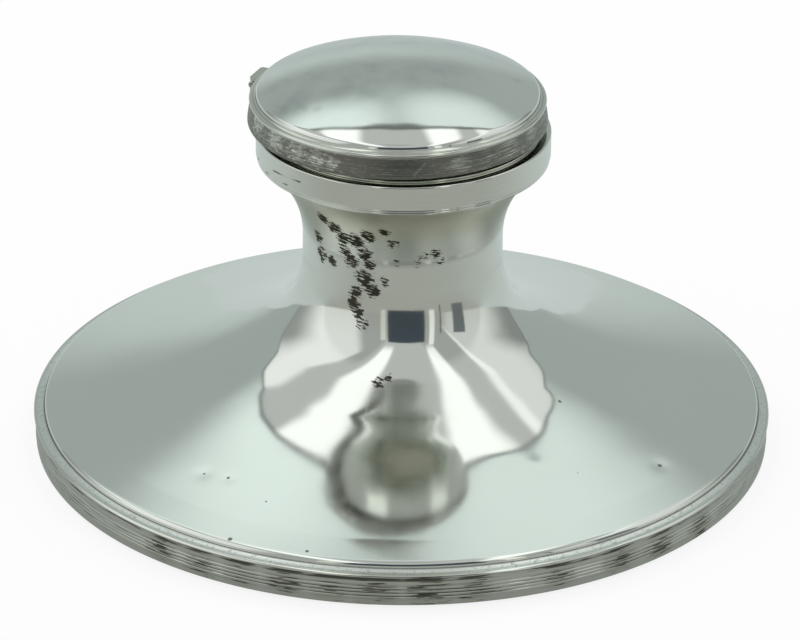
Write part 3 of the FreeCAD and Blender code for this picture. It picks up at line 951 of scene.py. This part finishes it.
# %% Body finish
dash_run = (right * 0.98 - up * 0.20).normalized()
dash_cross = (right * 0.20 + up * 0.98).normalized()
scale_spots = [(322, 218, 12), (334, 228, 13), (343, 238, 13), (318, 236, 11), (356, 242, 15), (368, 236, 13),
               (384, 233, 10), (322, 254, 12), (332, 262, 9), (364, 254, 13), (370, 266, 10), (352, 262, 12),
               (364, 278, 17), (372, 290, 12), (356, 292, 12), (354, 304, 10), (358, 314, 9), (344, 250, 11)]
thin_spots = [(392, 244, 10), (424, 256, 8), (436, 254, 10), (442, 262, 7), (418, 264, 6), (397, 263, 6),
              (378, 384, 11), (388, 378, 8), (362, 324, 9), (384, 282, 8)]
pit_spots = [(204, 473, 2.2), (228, 477, 2.6), (230, 539, 3.0), (307, 551, 2.2), (266, 501, 1.6),
             (660, 465, 3.2), (560, 401, 2.6), (540, 466, 2.0), (578, 472, 1.6)]


def body_finish():
    """Clean foot, filmed neck, flakes of black scale."""
    coat = Coating("silver_body_finish")
    neck = coat.ramp(coat.level, 26.0, 31.0)
    under_collar = coat.ramp(coat.level + 5.0 * coat.grain(7.0, 3.0, seed=14.0), 44.0, 53.0)
    dense = coat.patches(pixels("body_shell", *scale_spots), 0.8)
    thin = coat.patches(pixels("body_shell", *thin_spots), 0.8)
    dashes = coat.strokes(dash_run, dash_cross, 1.3, 0.32, 3.0, seed=3.0)
    clumps = coat.grain(2.6, 2.0, stretch=(1, 1, 0.8), seed=35.0) - 0.5
    held = 0.26 * dense | 0.17 * thin
    scale = coat.ramp(dashes + held + 0.30 * clumps, 0.63, 0.68) * coat.ramp(held, 0.01, 0.05)
    pits = coat.patches(pixels("body_shell", *pit_spots), 0.5)
    clouds = 0.10 * coat.grain(14.0, 3.0, seed=9.0)
    neck_film = 0.10 + 0.25 * coat.grain(6.0, 3.0, seed=1.0) + 0.4 * under_collar
    film_mask = neck * neck_film + clouds + 0.25 * dense
    film_colour = coat.mix(under_collar, film, brown)
    flare = 0.24 * coat.ramp(coat.level, neck_top + 1.6, neck_top + 3.0)
    return silver(coat, film_mask, 0.95 * scale | 0.75 * pits, film_colour, polish=0.06, dull=flare)


body.data.materials.append(body_finish())

# %% [markdown]
# ### Rim, collar and lid
# Reeds hold dirt, so the rim has brown lines in its grooves, strongest where it was handled least, and a
# dull speckled ledge. The lid's band went dark grey and was rubbed pale again in patches and along fine
# scratches. Long grains that follow a band come from squeezing the noise in height only, which keeps it
# free of a seam.

# %% Rim, collar and lid finishes
rim_stains = [(330, 588, 34), (375, 592, 40), (430, 592, 40), (475, 589, 30), (160, 551, 26), (200, 565, 26),
              (240, 575, 26), (285, 583, 30), (620, 560, 26), (660, 546, 26), (700, 527, 26), (560, 576, 24)]
scratch_ends = [(258, 158, 1), (276, 172, 1), (300, 182, 1), (266, 172, 1), (287, 185, 1)]
crease_ends = [(425, 164, 1), (414, 175, 1)]
frost_spots = [(258, 122, 22), (275, 138, 22), (296, 149, 20), (318, 157, 18), (332, 163, 12)]
rubbed_spots = [(462, 163, 18), (485, 156, 22), (510, 146, 22), (532, 132, 20)]
smudge_spots = [(282, 111, 13), (300, 110, 12), (318, 108, 9), (518, 81, 9)]
haze_spots = [(300, 75, 70), (370, 70, 80), (430, 72, 70), (290, 100, 50), (350, 95, 60)]


def rim_finish():
    """Pale film on the band, brown lines in the reeds and a dull, speckled ledge."""
    coat = Coating("silver_rim_finish")
    inside = coat.ramp(coat.reach(), rim_radius - 0.05, rim_radius - 0.3)
    ledge = inside * coat.ramp(coat.level, rim_band_top + 0.3, rim_band_top + 0.6)
    stained = coat.patches(pixels("base_rim", *rim_stains), 0.9)
    streaks = coat.grain(1.0, 4.0, stretch=(6, 6, 0.35), seed=5.0)
    lines = coat.ramp(coat.hollow, 0.54, 0.74) * (1 - ledge) * coat.ramp(streaks + 0.30 * stained, 0.45, 0.65)
    dashes = coat.ramp(streaks + 0.20 * stained, 0.71, 0.77) * (1 - ledge)
    speckle = coat.ramp(coat.grain(0.9, 5.0, seed=33.0), 0.50, 0.70)
    edge_line = ledge * coat.ramp(coat.reach(), body_edge_radius + 0.35, body_edge_radius + 0.1)
    worn = ledge * 0.30 * speckle | 0.6 * edge_line
    film_mask = (1 - ledge) * (0.15 + 0.15 * coat.grain(5.0, 3.0, seed=6.0) + 0.35 * stained)
    return silver(coat, film_mask, 0.85 * lines | 0.85 * dashes | worn, haze=0.16, dull=0.20 * ledge)


def collar_finish():
    """Evenly filmed, faintly lined along the band, with two dark scratches."""
    coat = Coating("silver_collar_finish")
    soiled = coat.ramp(coat.hollow, 0.62, 0.90)
    fine_lines = coat.grain(0.35, 3.0, stretch=(14, 14, 0.5), seed=8.0)
    marks = [place for place, radius in pixels("collar", *scratch_ends)]
    scratches = (coat.scratch(marks[0], marks[1], 0.22) | coat.scratch(marks[1], marks[2], 0.22)
                 | coat.scratch(marks[3], marks[4], 0.18))
    film_mask = 0.12 + 0.30 * fine_lines + 0.10 * coat.grain(5.0, 3.0, seed=7.0)
    return silver(coat, film_mask, 0.6 * soiled | 0.85 * scratches)


def lid_band_finish():
    """Dark grey band with pale frosting and scratches, under a clean bead."""
    coat = Coating("silver_lid_band_finish")
    below = coat.ramp(coat.level, lid_band_top + 0.05, lid_band_top - 0.2)
    frosted = coat.patches(pixels("lid_rim", *frost_spots), 0.8)
    rubbed = coat.patches(pixels("lid_rim", *rubbed_spots), 0.8)
    mottle = coat.grain(0.45, 5.0, stretch=(2.5, 2.5, 1), seed=11.0, rough=0.7)
    lines = coat.grain(0.3, 3.0, stretch=(16, 16, 0.4), seed=12.0)
    crease = [place for place, radius in pixels("lid_rim", *crease_ends)]
    frost = coat.ramp(mottle + 0.18 * frosted, 0.52, 0.80)
    frost = frost | 0.8 * coat.ramp(lines + 0.12 * rubbed, 0.60, 0.74)
    frost = frost | 0.4 * coat.scratch(*crease, 0.30)
    grooves = coat.ramp(coat.hollow, 0.62, 0.90) * (1 - below)
    dirt = below * (0.74 - 0.62 * frost) | 0.40 * grooves
    return silver(coat, 0.2 + 0.4 * mottle, dirt, haze=0.2)


def dome_finish():
    """Polished, with painted shade at its back as a heavy grey film, lighter grey haze, darker smudges and
    fine scratches.
    """
    coat = Coating("silver_dome_finish")
    clouds = coat.ramp(coat.grain(5.0, 5.0, seed=13.0), 0.35, 0.70)
    hazy = coat.patches(pixels("lid_dome", *haze_spots), 1.0)
    # Painted shade: the half of the dome away from the view gets a heavy grey film, standing in for the
    # darker room that it mirrors there.
    painted_back_shade = coat.ramp(coat.part(coat.here, tuple(away)), 0.0, 18.0)
    torn = coat.ramp(coat.grain(1.5, 4.0, seed=16.0), 0.3, 0.6)
    smudged = coat.patches(pixels("lid_dome", *smudge_spots), 0.9) * torn
    fine = coat.ramp(coat.strokes(dash_cross, dash_run, 3.0, 0.12, 2.0, seed=18.0), 0.66, 0.72)
    film_mask = (0.16 + 0.26 * clouds) * hazy | (0.70 + 0.25 * clouds) * painted_back_shade | 0.12 * fine
    return silver(coat, film_mask, 0.16 * smudged, grey_film_and_painted_shade, haze=0.12)


def plain_silver(name, seed):
    """Silver away from the light, with an even film."""
    coat = Coating(name)
    soiled = coat.ramp(coat.hollow + 0.5 * coat.grain(1.5, 4.0, seed=seed), 0.95, 1.25)
    return silver(coat, 0.3 + 0.5 * coat.grain(4.0, 3.0, seed=seed + 1), 0.6 * soiled, haze=0.2)


rim.data.materials.append(rim_finish())
collar.data.materials.append(collar_finish())
lid_band.data.materials.append(lid_band_finish())
dome.data.materials.append(dome_finish())
lining.data.materials.append(plain_silver("silver_lining_finish", 15.0))
ring.data.materials.append(plain_silver("silver_ring_finish", 17.0))
hinge_silver = plain_silver("silver_hinge_finish", 19.0)
for piece in hinge_pieces:
    piece.data.materials.append(hinge_silver)

# %% [markdown]
# ## Glass, felt and the hidden pieces
# Pressed glass is clear with a faint green cast. The felt is a dark green baize. The board, the filling,
# the tinned well and the steel pin keep their CAD shapes and get a finish of their own.

# %% Other finishes
def glass_finish():
    """Clear pressed glass."""
    coat = Coating("pressed_glass_finish")
    ripple = coat.grain(4.0, 2.0, seed=21.0)
    return coat.finish(Base_Color=(0.94, 0.97, 0.95), Roughness=0.02 + 0.04 * ripple, IOR=1.5,
                       Transmission_Weight=1.0, Normal=coat.bump(ripple, 0.02))


def felt_finish():
    """Dark green felt with a fibrous nap."""
    coat = Coating("green_felt_finish")
    fibres = coat.grain(0.4, 6.0, stretch=(1, 2, 1), seed=23.0)
    colour = coat.mix(coat.ramp(fibres, 0.3, 0.7), (0.010, 0.040, 0.022), (0.035, 0.095, 0.055))
    return coat.finish(Base_Color=colour, Roughness=0.95, Normal=coat.bump(fibres, 0.15))


def wood_finish():
    """Straight-grained stained board."""
    coat = Coating("board_finish")
    lines = coat.grain(1.2, 4.0, stretch=(12, 1, 1), seed=25.0)
    colour = coat.mix(coat.ramp(lines, 0.35, 0.7), (0.16, 0.08, 0.035), (0.07, 0.032, 0.014))
    return coat.finish(Base_Color=colour, Roughness=0.5 + 0.2 * lines, Normal=coat.bump(lines, 0.08))


def pitch_finish():
    """Dull dark filling, poured hot."""
    coat = Coating("filling_finish")
    lumps = coat.grain(3.0, 5.0, seed=27.0)
    colour = coat.mix(lumps, (0.035, 0.028, 0.022), (0.09, 0.075, 0.06))
    return coat.finish(Base_Color=colour, Roughness=0.7, Normal=coat.bump(lumps, 0.3))


def tin_finish():
    """Tinned sheet, grey and crystalline."""
    coat = Coating("tin_finish")
    bloom = coat.grain(2.5, 3.0, seed=29.0)
    colour = coat.mix(bloom, (0.30, 0.30, 0.29), (0.55, 0.55, 0.53))
    return coat.finish(Base_Color=colour, Metallic=1.0, Roughness=0.3 + 0.2 * bloom)


def steel_finish():
    """Drawn steel wire."""
    coat = Coating("pin_finish")
    lines = coat.grain(0.2, 3.0, stretch=(10, 1, 1), seed=31.0)
    colour = coat.mix(lines, (0.30, 0.29, 0.28), (0.50, 0.49, 0.47))
    return coat.finish(Base_Color=colour, Metallic=1.0, Roughness=0.25 + 0.2 * lines)


pot.data.materials.append(glass_finish())
felt.data.materials.append(felt_finish())
kept_nodes = {"base_board": (wood_finish(), "base_wood"), "loading": (pitch_finish(), "loading"),
              "well_sleeve": (tin_finish(), "well_tin"), "hinge_pin": (steel_finish(), "pin_steel")}
for node, (material, slot) in kept_nodes.items():
    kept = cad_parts[node]
    kept.data.materials.clear()
    kept.data.materials.append(material)

# %% [markdown]
# ## Floor
# A plain white sheet. It takes the soft shadow of the object, and for rays that look at it, straight or
# in the metal and the glass, most of its face is lifted to white.

# %% Floor
floor_radius = 5.0
floor_sides = 96
floor_mesh = bpy.data.meshes.new("floor")
floor_turn = [2 * math.pi * k / floor_sides for k in range(floor_sides)]
floor_ring = [(floor_radius * math.cos(a), floor_radius * math.sin(a), 0) for a in floor_turn]
floor_mesh.from_pydata(floor_ring, [], [list(range(floor_sides))])
floor = bpy.data.objects.new("floor", floor_mesh)
scene.collection.objects.link(floor)
floor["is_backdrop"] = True


def floor_finish(lift=0.85):
    """Matt white, with a glow of its own for the rays that look at it."""
    material = bpy.data.materials.new("floor_finish")
    material.use_nodes = True
    paper = Finish(material.node_tree)
    kinds = ["Is Camera Ray", "Is Glossy Ray", "Is Transmission Ray"]
    looks = [paper.add("ShaderNodeLightPath", {}, {}, kind) for kind in kinds]
    looked_at = looks[0] | looks[1] | looks[2]
    matt = paper.add("ShaderNodeBsdfDiffuse", {}, {"Color": (0.9, 0.9, 0.9)})
    glow = paper.add("ShaderNodeEmission", {}, {"Color": (1, 1, 1), "Strength": 1.0})
    both = paper.add("ShaderNodeMixShader", {}, {"Fac": looked_at * lift, 1: matt, 2: glow})
    paper.add("ShaderNodeOutputMaterial", {}, {"Surface": both})
    return material


floor_mesh.materials.append(floor_finish())

# %% [markdown]
# ## The light tent
# A mirror shows its room, so the room is half of the picture. Silver is photographed in a tent of white
# cloth: a back wall in half shade, bright sides, two long lamps shining through the roof, and thin dark
# seams where the sheets meet. The world is that tent. Walls are written as angles: the azimuth counts
# from the view's direction to the right, and the elevation counts up from the horizon. The roof is flat,
# so its strips are written as the place where a ray meets it, in heights of the roof to the right and to
# the back.

# %% Directions of the tent
fold_size = 5.0
least_rise = 0.05

world = bpy.data.worlds.new("tent")
scene.world = world
world.use_nodes = True
tent = Finish(world.node_tree)
looking = tent.add("ShaderNodeTexCoord", {}, {}, "Generated")
to_right = tent.part(looking, tuple(right))
to_back = tent.part(looking, tuple(away))
upwards = tent.part(looking, tuple(up))
folds = tent.add("ShaderNodeTexNoise", {}, {"Vector": looking, "Scale": 4.0, "Detail": 1.0}, "Fac") - 0.5
turned_by = tent.add("ShaderNodeMath", {"operation": "ARCTAN2"}, {0: to_right, 1: to_back})
raised_by = tent.add("ShaderNodeMath", {"operation": "ARCSINE"}, {0: upwards})
azimuth = math.degrees(1) * turned_by + fold_size * folds
elevation = math.degrees(1) * raised_by + fold_size * folds
sideways = abs(azimuth)
roof_right = to_right / (upwards | least_rise)
roof_back = to_back / (upwards | least_rise)


def lobe(side, rise, reach, core):
    """A soft place of the tent: 1 within its core and 0 past its reach, in degrees."""
    turn = math.radians(side)
    lift = math.radians(rise)
    middle = (away * math.cos(turn) + right * math.sin(turn)) * math.cos(lift) + up * math.sin(lift)
    low, high = (math.cos(math.radians(angle)) for angle in (reach, core))
    return tent.ramp(tent.part(looking, tuple(middle)), low, high)


def strip(offset, half_width, soften):
    """A strip of the roof or a wall: 1 along its middle line, where the offset is 0."""
    return tent.ramp(abs(offset), half_width + soften, half_width - soften)


print("tent directions:", len(world.node_tree.nodes), "nodes")

# %% Back wall and room of the tent
seam_height = 64.5
seam_droop = 0.007
corner_droop = 2.1e-9
seam_half_width = 1.1
back_turn = 1.5
back_level = 0.44
roof_level = 0.56
left_lamp_place = -0.285
right_lamp_place = 0.335
right_lamp_slant = 0.25
right_wall_slant = 0.6
left_lamp_half = 0.10
right_lamp_half = 0.09
lamp_soft = 0.03
lamp_light = 0.70
left_wall_light = 0.44
right_wall_light = 0.26
right_edge_light = 0.28
front_corner_loss = 0.14
corner_loss = 0.65
zenith_loss = 0.5
seam_loss = 0.70
back_lobes = [(0.20, -4, 2, 24, 4), (0.45, -33, 57, 19, 4), (0.34, 27, 55, 19, 4)]

from_middle = (azimuth + back_turn) * (azimuth + back_turn)
seam_line = elevation + seam_droop * from_middle + corner_droop * from_middle * from_middle * from_middle
back_wall = tent.ramp(seam_line, seam_height + 0.6, seam_height - 0.6)
seam = strip(seam_line - seam_height, seam_half_width, 0.6)
back_light = back_level + 0.12 * tent.ramp(elevation, 36, 54)
for amount, *place in back_lobes:
    back_light = back_light + amount * lobe(*place)
right_lamp_line = roof_right + right_lamp_slant * roof_back - right_lamp_place
left_lamp = strip(roof_right - left_lamp_place, left_lamp_half, lamp_soft)
right_lamp = strip(right_lamp_line, right_lamp_half, lamp_soft)
lamps = (left_lamp | right_lamp) * tent.ramp(roof_back, -1.3, -0.8)
left_wall = tent.ramp(roof_right, -0.62, -0.70)
right_line = roof_right + right_wall_slant * roof_back
right_wall = tent.ramp(right_line, 0.72, 0.78)
right_edge = strip(right_line - 0.80, 0.05, 0.03)
walls = left_wall_light * left_wall + right_wall_light * right_wall + right_edge_light * right_edge
walls = walls * tent.ramp(sideways, 142, 128)
front_corner = tent.ramp(roof_back, -0.1, -0.45) * tent.ramp(abs(roof_right), 0.42, 0.52)
corner_shade = tent.ramp(sideways, 95, 55) * tent.ramp(elevation, 42, 24)
room_light = roof_level + lamp_light * lamps + walls - front_corner_loss * front_corner
room_light = room_light * (1 - corner_loss * corner_shade)
room_light = room_light * (1 - zenith_loss * lobe(0, 90, 8, 4))
light = (back_wall * back_light + (1 - back_wall) * room_light) * (1 - seam_loss * seam)
tint = tent.mix(back_wall, (0.98, 1.0, 0.97), (0.90, 1.0, 0.965))
cloth = tent.add("ShaderNodeBackground", {}, {"Color": tint, "Strength": light})
tent.add("ShaderNodeOutputWorld", {}, {"Surface": cloth})
print("tent:", len(world.node_tree.nodes), "nodes")

# %% [markdown]
# ## Cards and lamps
# The tent is open where the camera looks in, and silver shows that opening as a dark patch low in the
# neck, between two pale strips. Dark and pale cards stand for them, and a grey cloth lies round the foot
# so that the metal has something to end against. They are left out of the camera's own view and cast no
# shadow, so only the metal sees them. The cloth glows with painted light, paler behind the object, and
# with painted shade close to the foot. The darkest cards glow in a paler painted tone where two mirrors
# pass them on. Two wide lamps light the floor and the dull parts evenly, and the metal sees the tent
# instead of their faces.

# %% Cards, cloth and lamps
def card(name, corners, material):
    """A flat card in the room, given by its corners in millimetres and seen only in the metal."""
    mesh = bpy.data.meshes.new(name)
    mesh.from_pydata([corner * mm for corner in corners], [], [list(range(len(corners)))])
    panel = bpy.data.objects.new(name, mesh)
    scene.collection.objects.link(panel)
    panel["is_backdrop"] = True
    panel.visible_camera = False
    panel.visible_shadow = False
    panel.visible_diffuse = False
    panel.visible_transmission = False
    mesh.materials.append(material)


def paint(name, grey, second_mirror_painted_tone=None):
    """A glow of an even tone, and where a second tone is given, that tone as painted light where the card is
    seen through two mirrors.
    """
    material = bpy.data.materials.new(name)
    material.use_nodes = True
    coat = Finish(material.node_tree)
    bounces = coat.add("ShaderNodeLightPath", {}, {}, "Ray Depth")
    # Painted light: after two mirrors, a card glows in its second, paler tone.
    tone = coat.mix(coat.ramp(bounces, 1.4, 1.6), grey, second_mirror_painted_tone or grey)
    glow = coat.add("ShaderNodeEmission", {}, {"Color": tone, "Strength": 1.0})
    coat.add("ShaderNodeOutputMaterial", {}, {"Surface": glow})
    return material


def cloth_finish():
    """Grey cloth that glows with painted light: paler behind the object, with painted shade close to its
    foot.
    """
    coat = Coating("grey_cloth_painted_light")
    # Painted light: the glow is paler behind the object.
    behind = coat.ramp(coat.part(coat.here, tuple(away)), -110.0, 90.0)
    # Painted shadow: the glow is dimmed close to the foot.
    shade = 0.62 + 0.38 * coat.ramp(coat.reach(), foot_radius, foot_radius + 22)
    tone = coat.mix(behind, (0.44, 0.45, 0.42), (0.60, 0.66, 0.65))
    shaded = coat.mix(shade, (0, 0, 0), tone)
    glow = coat.add("ShaderNodeEmission", {}, {"Color": shaded, "Strength": 1.0})
    coat.add("ShaderNodeOutputMaterial", {}, {"Surface": glow})
    return coat.material


def upright(side, distance, half_width, low, high):
    """The corners of an upright card. Its side counts from the view's direction, in degrees."""
    turn = math.radians(side)
    ahead = away * math.cos(turn) + right * math.sin(turn)
    along = Vector((-ahead.y, ahead.x, 0)) * half_width
    ends = ((-1, low), (1, low), (1, high), (-1, high))
    return [ahead * distance + sign * along + up * level for sign, level in ends]


cards = {
    "opening_card": ((176, 210, 70, 16, 166), (0.06, 0.075, 0.09), (0.30, 0.31, 0.30)),
    "pale_card_left": ((-161, 212, 9, 16, 150), (0.72, 0.72, 0.66)),
    "pale_card_right": ((150, 212, 10, 16, 175), (0.95, 0.95, 0.90)),
    "stand_card": ((121, 210, 24, 0.5, 112), (0.16, 0.18, 0.19), (0.35, 0.36, 0.35)),
    "edge_card": ((141, 210, 2.5, 0.5, 112), (0.12, 0.14, 0.13)),
}
for name, (place, *tones) in cards.items():
    card(name, upright(*place), paint(name.replace("_card", "") + "_finish", *tones))
cloth_height = 0.02
cloth_share = 0.98
cloth_ring = [Vector(corner) / mm * cloth_share + up * cloth_height for corner in floor_ring]
card("grey_cloth", cloth_ring, cloth_finish())
print("cards:", ", ".join(cards))


lamp_distance = 1.2


def wide_lamp(name, side, rise, size, level):
    """A square lamp whose face has a given brightness."""
    turn = math.radians(side)
    lift = math.radians(rise)
    direction = (away * math.cos(turn) + right * math.sin(turn)) * math.cos(lift) + up * math.sin(lift)
    lamp = bpy.data.lights.new(name, "AREA")
    lamp.shape = "SQUARE"
    lamp.size = size
    lamp.energy = level * math.pi * size ** 2
    holder = bpy.data.objects.new(name, lamp)
    turned = direction.to_track_quat("Z", "Y").to_matrix().to_4x4()
    holder.matrix_world = Matrix.Translation(direction * lamp_distance) @ turned
    holder.visible_glossy = False
    scene.collection.objects.link(holder)


wide_lamp("lamp_left", -60, 60, 0.8, 1.6)
wide_lamp("lamp_right", 60, 60, 0.8, 1.6)
scene.view_settings.view_transform = "Standard"

# %% Sizes and finish
sizes = {"cad": [list(corner) for corner in cad_box], "visual": [list(corner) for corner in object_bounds()]}
for name, (low, high) in sizes.items():
    print(name, "box in mm:", [round((b - a) / mm, 2) for a, b in zip(low, high)])
